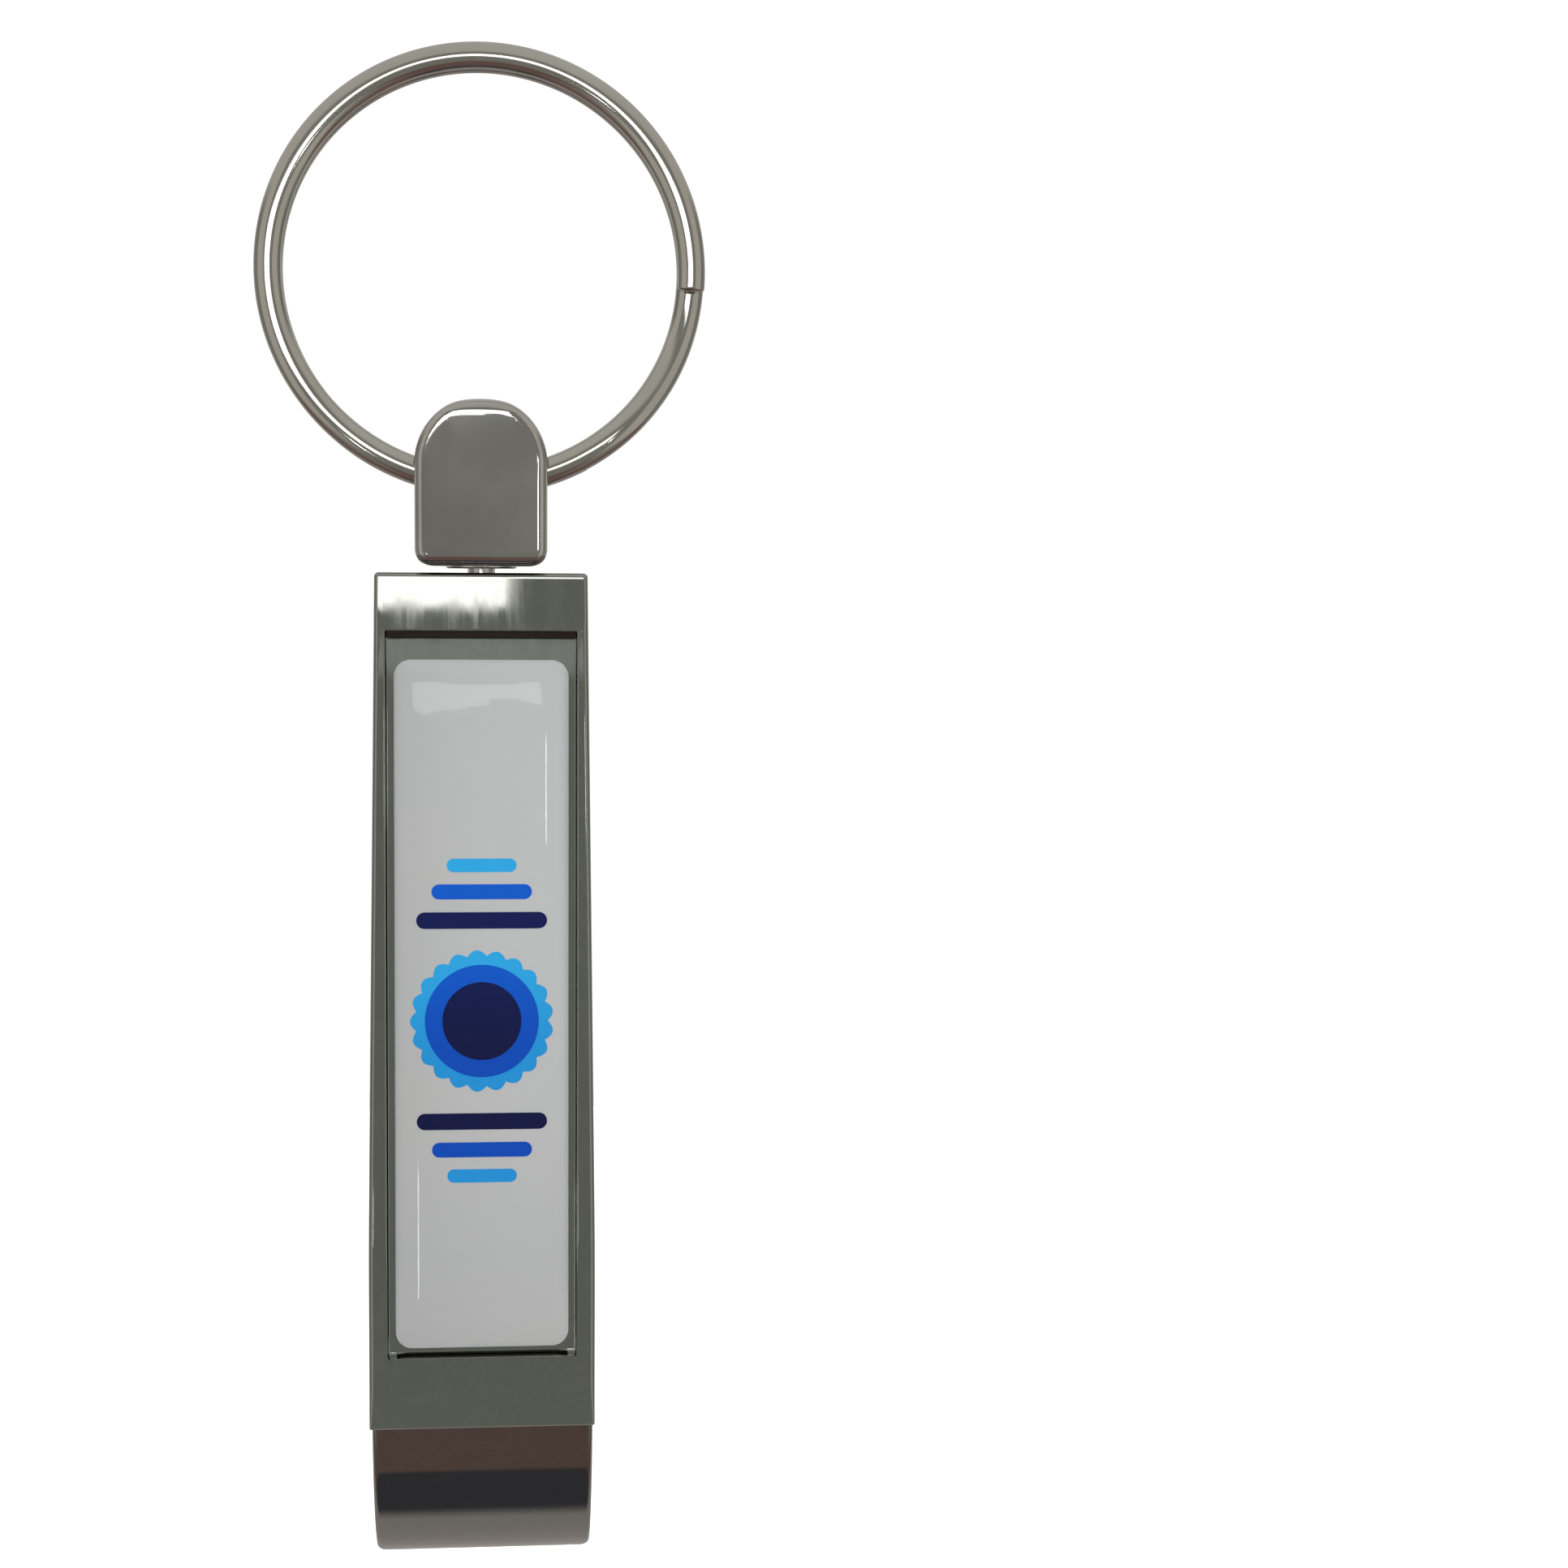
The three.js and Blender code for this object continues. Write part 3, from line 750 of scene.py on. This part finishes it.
def opener_casting():
    """The outline's band with rounded edges, the recess sunk in its front, and the two side faces."""
    outline = side_outline()
    points = np.array(outline.points)
    if np.hypot(*(points[0] - points[-1])) < 1e-6:
        points = points[:-1]
    count = len(points)
    front = np.array(outline.front[:count])
    ahead, behind = np.roll(points, -1, axis=0), np.roll(points, 1, axis=0)
    before = points - behind
    after = ahead - points
    before /= np.linalg.norm(before, axis=1)[:, None]
    after /= np.linalg.norm(after, axis=1)[:, None]
    tangent = before + after
    tangent /= np.linalg.norm(tangent, axis=1)[:, None]
    inward = np.stack([-tangent[:, 1], tangent[:, 0]], axis=1)

    # An edge radius grows no faster than EDGE_GROWTH along the outline, so it never jumps.
    step = np.linalg.norm(ahead - points, axis=1)
    edge = np.array(outline.edges[:count])
    for _ in range(2):
        for i in range(count):
            edge[i] = min(edge[i], edge[i - 1] + EDGE_GROWTH * step[i - 1])
        for i in reversed(range(count)):
            edge[i] = min(edge[i], edge[(i + 1) % count] + EDGE_GROWTH * step[i])

    def place(across, back, down):
        return np.stack([across * MM, body_lo.y + back * MM, body_hi.z - down * MM], axis=-1)

    columns = []
    for a in np.radians(np.linspace(90, 0, 8)):
        shifted = points + inward * (edge * (1 - np.cos(a)))[:, None]
        across = half_width(shifted[:, 1]) - edge * (1 - np.sin(a))
        columns.append((across, shifted[:, 0], shifted[:, 1]))
    # The side faces meet the band along its first column, so the order runs from the side to the middle.
    flat = half_width(points[:, 1]) - edge
    for x, depth in [*recess_columns(), (0.0, RECESS_DEPTH)]:
        across = np.minimum(x, flat)
        sunk = np.minimum(depth, recess_depth_down(points[:, 1]))
        back = np.where(front, np.maximum(points[:, 0], sunk), points[:, 0])
        columns.append((across, back, points[:, 1]))

    skin = Skin()
    for side in (1, -1):
        grid = np.stack([place(side * across, back, down) for across, back, down in columns], axis=1)
        skin.grid(grid if side > 0 else grid[:, ::-1], wrap_rows=True)
        rim = np.stack([columns[0][1], columns[0][2]], axis=1)
        for a, b, c in side_face(rim, side_face_points(rim)):
            corners = [place(side * half_width(p[1]), p[0], p[1]) for p in (a, b, c)]
            skin.face([skin.number(tuple(corner)) for corner in corners])

    mesh = skin.mesh("opener_casting")
    bore_y = body_lo.y + PLATE_T * MM / 2
    bore_low = body_hi.z - (RELIEF_TOP + 0.5) * MM
    bore_r = SHANK_BORE_R * MM
    above = body_hi.z + 1 * MM
    bore = turned([(0, bore_low), (bore_r, bore_low), (bore_r, above), (0, above)], bore_y)
    relief = box_mesh(
        (-RELIEF_W / 2 * MM, body_lo.y - 1 * MM, body_hi.z - (RELIEF_TOP + RELIEF_H) * MM),
        (RELIEF_W / 2 * MM, body_lo.y + (PLATE_T - RELIEF_WALL) * MM, body_hi.z - RELIEF_TOP * MM))
    return soften(cut_away(mesh, bore, relief), 30)


def box_mesh(low, high):
    """A cutter with six flat sides."""
    corners = [(x, y, z) for x in (low[0], high[0]) for y in (low[1], high[1]) for z in (low[2], high[2])]
    faces = [(0, 1, 3, 2), (4, 6, 7, 5), (0, 4, 5, 1), (2, 3, 7, 6), (0, 2, 6, 4), (1, 5, 7, 3)]
    return mesh_from("box", corners, faces)


def side_face_points(rim):
    """Points spread over a side face, closer together where the lower corners round off."""
    low, high = rim.min(axis=0), rim.max(axis=0)
    coarse = [(b, d) for b in np.arange(low[0], high[0], 1.1) for d in np.arange(low[1], high[1], 1.1)]
    fine = [(b, d) for b in np.arange(8, high[0], 0.35)
            for d in np.arange(BODY_L - LIP_CORNER - 0.2, high[1], 0.2)]
    spots = np.array(coarse + fine)
    following = np.roll(rim, -1, axis=0)
    span = following - rim
    from_start = spots[:, None] - rim[None]
    along = np.clip((from_start * span).sum(axis=2) / (span ** 2).sum(axis=1), 0, 1)
    gap = np.linalg.norm(from_start - along[..., None] * span[None], axis=2).min(axis=1)
    crosses = (rim[None, :, 1] > spots[:, None, 1]) != (following[None, :, 1] > spots[:, None, 1])
    rise = np.where(span[:, 1] == 0, 1e-12, span[:, 1])
    meets = rim[None, :, 0] + span[None, :, 0] * (spots[:, None, 1] - rim[None, :, 1]) / rise
    inside = (crosses & (spots[:, None, 0] < meets)).sum(axis=1) % 2 == 1
    return spots[inside & (gap > SIDE_POINT_GAP)]


def side_face(rim, within):
    """Triangles that fill a side face between its rim and the points within it."""
    count = len(rim)
    spots = [Vector(p) for p in (*rim, *within)]
    edges = [(i, (i + 1) % count) for i in range(count)]
    out, _, faces, *_ = geometry.delaunay_2d_cdt(spots, edges, [], 1, 1e-9)
    return [[np.array(out[i]) for i in face] for face in faces]


# ---------------------------------------------------------------- label

def label_ring(half_w, half_l, radius, steps=8):
    """A rounded rectangle as (across, height) points about its own middle."""
    points = []
    for k, (sx, sz) in enumerate([(1, 1), (-1, 1), (-1, -1), (1, -1)]):
        centre = (sx * (half_w - radius), sz * (half_l - radius))
        points += arc(centre, radius, 90 * k, 90 * k + 90, steps)
    return points


def layers(rings, mid_z):
    """A solid from rings of (across, height, y), the first and last closed by a flat face."""
    skin = Skin()
    rows = np.array([[(x, y, z + mid_z) for x, z, y in ring] for ring in rings])
    numbers = skin.grid(rows, wrap_columns=True)
    skin.face(numbers[0])
    skin.face(numbers[-1][::-1])
    return skin.mesh("layers")


def rounded_sheet(lo, hi, radius):
    """A thin die-cut sheet between two corners, its edges just broken."""
    half_w, half_l = (hi.x - lo.x) / 2, (hi.z - lo.z) / 2
    mid_z = (hi.z + lo.z) / 2
    broken = SHEET_BROKEN_EDGE * MM
    rings = []
    for inset, y in [(broken, lo.y), (0, lo.y + broken), (0, hi.y - broken), (broken, hi.y)]:
        outline = label_ring(half_w - inset, half_l - inset, radius * MM - inset)
        rings.append([(x, z, y) for x, z in outline])
    return soften(layers(rings, mid_z), 50)


def label_dome():
    """Poured resin: full at the middle, rolling down to a thin foot at the label's edge."""
    half_w, half_l = (dome_hi.x - dome_lo.x) / 2, (dome_hi.z - dome_lo.z) / 2
    mid_z = (dome_hi.z + dome_lo.z) / 2
    foot = DOME_FOOT * MM
    rise = dome_hi.y - dome_lo.y - foot
    base = dome_hi.y
    rings = [[(x, z, base) for x, z in label_ring(half_w, half_l, LABEL_CORNER_R * MM)]]
    for part in 1 - np.cos(np.linspace(0, math.pi / 2, 40)):
        inset = part * (half_w - DOME_CREST * MM)
        radius = min(LABEL_CORNER_R * MM + 0.8 * inset, half_w - inset)
        height = foot + rise * math.sqrt(1 - (1 - part) ** DOME_FULLNESS)
        outline = label_ring(half_w - inset, half_l - inset, radius)
        rings.append([(x, z, base - height) for x, z in outline])
    return soften(layers(rings, mid_z), 60)


# ---------------------------------------------------------------- printed motif: a bottle cap between bars

def ink_layer(outlines, level):
    """Flat ink with the given (across, height) outlines, on its own level over the film."""
    back = film_lo.y - (INK_GAP + (level - 1) * (INK_T + INK_LEVEL_GAP)) * MM
    face = back - INK_T * MM
    skin = Skin()
    for outline in outlines:
        rows = np.array([[(x, y, z) for x, z in outline] for y in (back, face)])
        numbers = skin.grid(rows, wrap_columns=True)
        skin.face(numbers[0])
        skin.face(numbers[1][::-1])
    mesh = skin.mesh("ink")
    for polygon in mesh.polygons:
        polygon.use_smooth = False
    return mesh


def cap_outline(radius, flute, middle):
    """A crown cap seen from above: twenty-one round flutes about a disc."""
    flutes, steps = 21, 420
    points = []
    for a in np.linspace(0, 2 * math.pi, steps, endpoint=False):
        reach = (radius + flute * abs(math.sin(flutes * a / 2))) * MM
        points.append((reach * math.cos(a), middle + reach * math.sin(a)))
    return points


def bar_outline(half_w, half_h, middle):
    return [(x, z + middle) for x, z in label_ring(half_w * MM, half_h * MM, half_h * MM * 0.98, 6)]


def label_print():
    """Three inks: a sky-blue cap and outer bars, a mid-blue disc and bars, and a navy middle."""
    middle = body_hi.z - PRINT_MIDDLE_DOWN * MM
    sky = [cap_outline(4.35, 0.38, middle)]
    blue = [cap_outline(3.75, 0.0, middle)]
    navy = [cap_outline(2.6, 0.0, middle)]
    bars = [(6.7, 4.3, 0.55, navy), (8.6, 3.3, 0.5, blue), (10.35, 2.3, 0.45, sky)]
    for offset, half_w, half_h, tone in bars:
        for side in (1, -1):
            tone.append(bar_outline(half_w, half_h, middle + side * offset * MM))
    # Each ink is given a painted shaded tone for the lower label and a painted lit tone for the upper
    # label.
    inks = [
        ("label_print_sky", sky, 1, ink("sky_ink", (0.020, 0.36, 0.86), (0.035, 0.50, 1.0))),
        ("label_print_blue", blue, 2, ink("blue_ink", (0.001, 0.085, 0.60), (0.002, 0.13, 0.77))),
        ("label_print_navy", navy, 3, ink("navy_ink", (0.002, 0.005, 0.065), (0.003, 0.010, 0.11))),
    ]
    for name, outlines, level, material in inks:
        piece(name, ink_layer(outlines, level), "opener", material)


# ---------------------------------------------------------------- assembly

piece("split_ring_wire", split_ring(), "ring", BRIGHT_NICKEL, ["split_ring"])
piece("swivel_eye_casting", swivel_eye(), "eye", EYE_NICKEL, ["swivel_eye"])
piece("rivet", rivet(), "opener", STEEL, ["swivel_rivet"])
piece("washer", thrust_washer(), "opener", STEEL, ["thrust_washer"])
casting = piece("opener_casting", opener_casting(), "opener", BLACK_NICKEL, ["opener_body"])
level_faces(casting)
tape_sheet = rounded_sheet(adhesive_lo, adhesive_hi, LABEL_CORNER_R - ADHESIVE_INSET)
piece("tape", tape_sheet, "opener", TAPE, ["label_adhesive"])
film_sheet = rounded_sheet(film_lo, film_hi, LABEL_CORNER_R)
piece("film", film_sheet, "opener", VINYL, ["label_film"])
label_print()
piece("dome", label_dome(), "opener", RESIN, ["label_dome"])


# ---------------------------------------------------------------- studio

# Zones of the studio's surroundings, in degrees round from the label's side and up from level. A tube is
# (from, to) round, then (from, to) up.
DARK_ZONE_HALF_DEG = 26
WINDOW_EDGE_DEG = 0.25
WINDOW_FAR_DEG = -16
WINDOW_SILL_DEG = -0.25
WINDOW_HEAD_DEG = 10
LOUVRE_SILL_DEG = 1.3
LOUVRE_FAR_DEG = 9
SHELF_HALF_DEG = 6
SHELF_LOW_DEG = -1.55
SHELF_HIGH_DEG = -0.85
RIGHT_TUBE_DEG = (13.6, 14.9, -4.6, -2.3)
LEFT_TUBE_DEG = (-14.9, -13.6, -14.9, -11.6)


def surroundings():
    """A white tent that a camera sees, and what the polished metal mirrors of the room inside it."""
    world = bpy.data.worlds.new("studio")
    bpy.context.scene.world = world
    world.use_nodes = True
    g = Graph(world.node_tree)
    direction = g.node("ShaderNodeTexCoord").outputs["Generated"]
    x, y, z = g.split(direction)
    level = g.math("SQRT", g.math("ADD", g.math("MULTIPLY", x, x), g.math("MULTIPLY", y, y)))
    up = g.math("MULTIPLY", g.math("ARCTAN2", z, level), 180 / math.pi)
    round_front = g.math("MULTIPLY", g.math("ARCTAN2", x, g.math("MULTIPLY", y, -1.0)), 180 / math.pi)
    # The angle to the nearest of the front, the back and the two sides.
    to_face = g.math("PINGPONG", round_front, 45.0)

    tent = g.mix(g.smooth(up, 0, 70), (0.74, 0.72, 0.66, 1), (0.78, 0.78, 0.75, 1))
    drift = g.noise(direction, 2.2, 2, 0.5)
    room = g.mix(drift, (0.29, 0.305, 0.275, 1), (0.42, 0.43, 0.395, 1))
    beside = g.smooth(to_face, DARK_ZONE_HALF_DEG - 5, DARK_ZONE_HALF_DEG + 4)
    above = g.smooth(up, 17, 30)
    open_tent = g.math("MAXIMUM", beside, above)
    upper = g.mix(open_tent, room, tent)

    brown = (0.245, 0.158, 0.142, 1)
    navy = (0.086, 0.082, 0.094, 1)
    grey = (0.485, 0.435, 0.42, 1)
    lower = g.mix(g.smooth(up, -64, -67), brown, navy)
    lower = g.mix(g.smooth(y, -0.02, 0.16), lower, grey)
    lower = g.mix(g.math("MULTIPLY", beside, g.smooth(up, -60, -30)), lower, (0.385, 0.37, 0.335, 1))
    colour = g.mix(g.smooth(up, -22, -34), upper, lower)

    def pane(az_low, az_high, el_low, el_high, soft=0.12):
        """A lit rectangle between two angles round and two angles up."""
        ragged = g.math("MULTIPLY", g.math("SUBTRACT", g.noise(direction, 160, 2, 0.6), 0.5), 0.5)
        az = g.math("ADD", round_front, ragged)
        el = g.math("ADD", up, ragged)
        across = g.math("MULTIPLY", g.smooth(az, az_low - soft, az_low + soft),
                        g.smooth(az, az_high + soft, az_high - soft))
        along = g.math("MULTIPLY", g.smooth(el, el_low - soft, el_low + soft),
                       g.smooth(el, el_high + soft, el_high - soft))
        return g.math("MULTIPLY", across, along)

    window = pane(WINDOW_FAR_DEG, WINDOW_EDGE_DEG, WINDOW_SILL_DEG, WINDOW_HEAD_DEG)
    louvre = pane(WINDOW_EDGE_DEG, LOUVRE_FAR_DEG, LOUVRE_SILL_DEG, WINDOW_HEAD_DEG)
    colour = g.mix(g.math("MAXIMUM", window, louvre), colour, (4.2, 4.1, 4.1, 1))
    shelf = pane(-SHELF_HALF_DEG, SHELF_HALF_DEG, SHELF_LOW_DEG, SHELF_HIGH_DEG)
    colour = g.mix(shelf, colour, (0.60, 0.64, 0.61, 1))
    tubes = g.math("MAXIMUM", pane(*RIGHT_TUBE_DEG), pane(*LEFT_TUBE_DEG))
    colour = g.mix(tubes, colour, (16.0, 16.0, 15.8, 1))

    mirrored = g.node("ShaderNodeBackground", {"Color": colour, "Strength": 1.0}).outputs[0]
    plain = g.node("ShaderNodeBackground", {"Color": (1, 1, 1, 1), "Strength": 1.02}).outputs[0]
    seen = g.node("ShaderNodeLightPath").outputs["Is Camera Ray"]
    both = g.node("ShaderNodeMixShader", {0: seen, 1: mirrored, 2: plain})
    g.node("ShaderNodeOutputWorld", {"Surface": both.outputs[0]})


def soft_light(name, place, target, size, power):
    """A large soft lamp that lights without showing in the metal."""
    data = bpy.data.lights.new(name, "AREA")
    data.shape = "RECTANGLE"
    data.size, data.size_y = size
    data.energy = power
    lamp = bpy.data.objects.new(name, data)
    lamp.location = place
    lamp.rotation_euler = (Vector(target) - Vector(place)).to_track_quat("-Z", "Y").to_euler()
    lamp.visible_glossy = False
    lamp.visible_camera = False
    bpy.context.scene.collection.objects.link(lamp)


def floor():
    """A plain pale floor well under the hanging object."""
    half, drop = 0.5, 0.055
    height = cad_box[0].z - drop
    bm = bmesh.new()
    bmesh.ops.create_grid(bm, x_segments=8, y_segments=8, size=half)
    mesh = bpy.data.meshes.new("floor")
    bm.to_mesh(mesh)
    bm.free()
    material, g = new_material("pale_floor")
    shade = g.noise(g.place(), 14, 3, 0.5)
    paper = g.mix(shade, (0.93, 0.93, 0.92, 1), (0.97, 0.97, 0.965, 1))
    glow = g.node("ShaderNodeEmission", {"Color": (1, 1, 1, 1), "Strength": 0.75}).outputs[0]
    matt = g.node("ShaderNodeBsdfDiffuse", {"Color": paper}).outputs[0]
    g.surface(g.node("ShaderNodeAddShader", {0: glow, 1: matt}).outputs[0])
    mesh.materials.append(material)
    thing = bpy.data.objects.new("floor", mesh)
    thing.location = (0, 0, height)
    thing.visible_glossy = False
    thing.visible_diffuse = False
    bpy.context.scene.collection.objects.link(thing)


def camera():
    """Close to the label side, a little right of the ring and level with the casting's top edge."""
    distance, right, above_top = 0.1896, 0.0010, -0.0014
    yaw, pitch, roll = math.radians(-5.71), math.radians(-3.74), math.radians(0.31)
    data = bpy.data.cameras.new("camera")
    data.sensor_width = 36
    data.lens = 66.08
    data.clip_start = 0.005
    data.clip_end = 5
    thing = bpy.data.objects.new("camera", data)
    thing.location = (right, body_lo.y - distance, body_hi.z + above_top)
    facing = Euler((math.pi / 2 + pitch, 0, yaw)).to_matrix() @ Matrix.Rotation(roll, 3, "Z")
    thing.rotation_euler = facing.to_euler()
    bpy.context.scene.collection.objects.link(thing)
    bpy.context.scene.camera = thing


surroundings()
soft_light("key", (-0.35, -0.55, -0.3), (0, 0, -0.05), (0.5, 0.5), 0.9)
soft_light("fill", (0.45, -0.40, 0.05), (0, 0, -0.05), (0.5, 0.5), 0.8)
floor()
camera()
bpy.context.scene.view_settings.view_transform = "Standard"
bpy.context.scene.view_settings.look = "None"
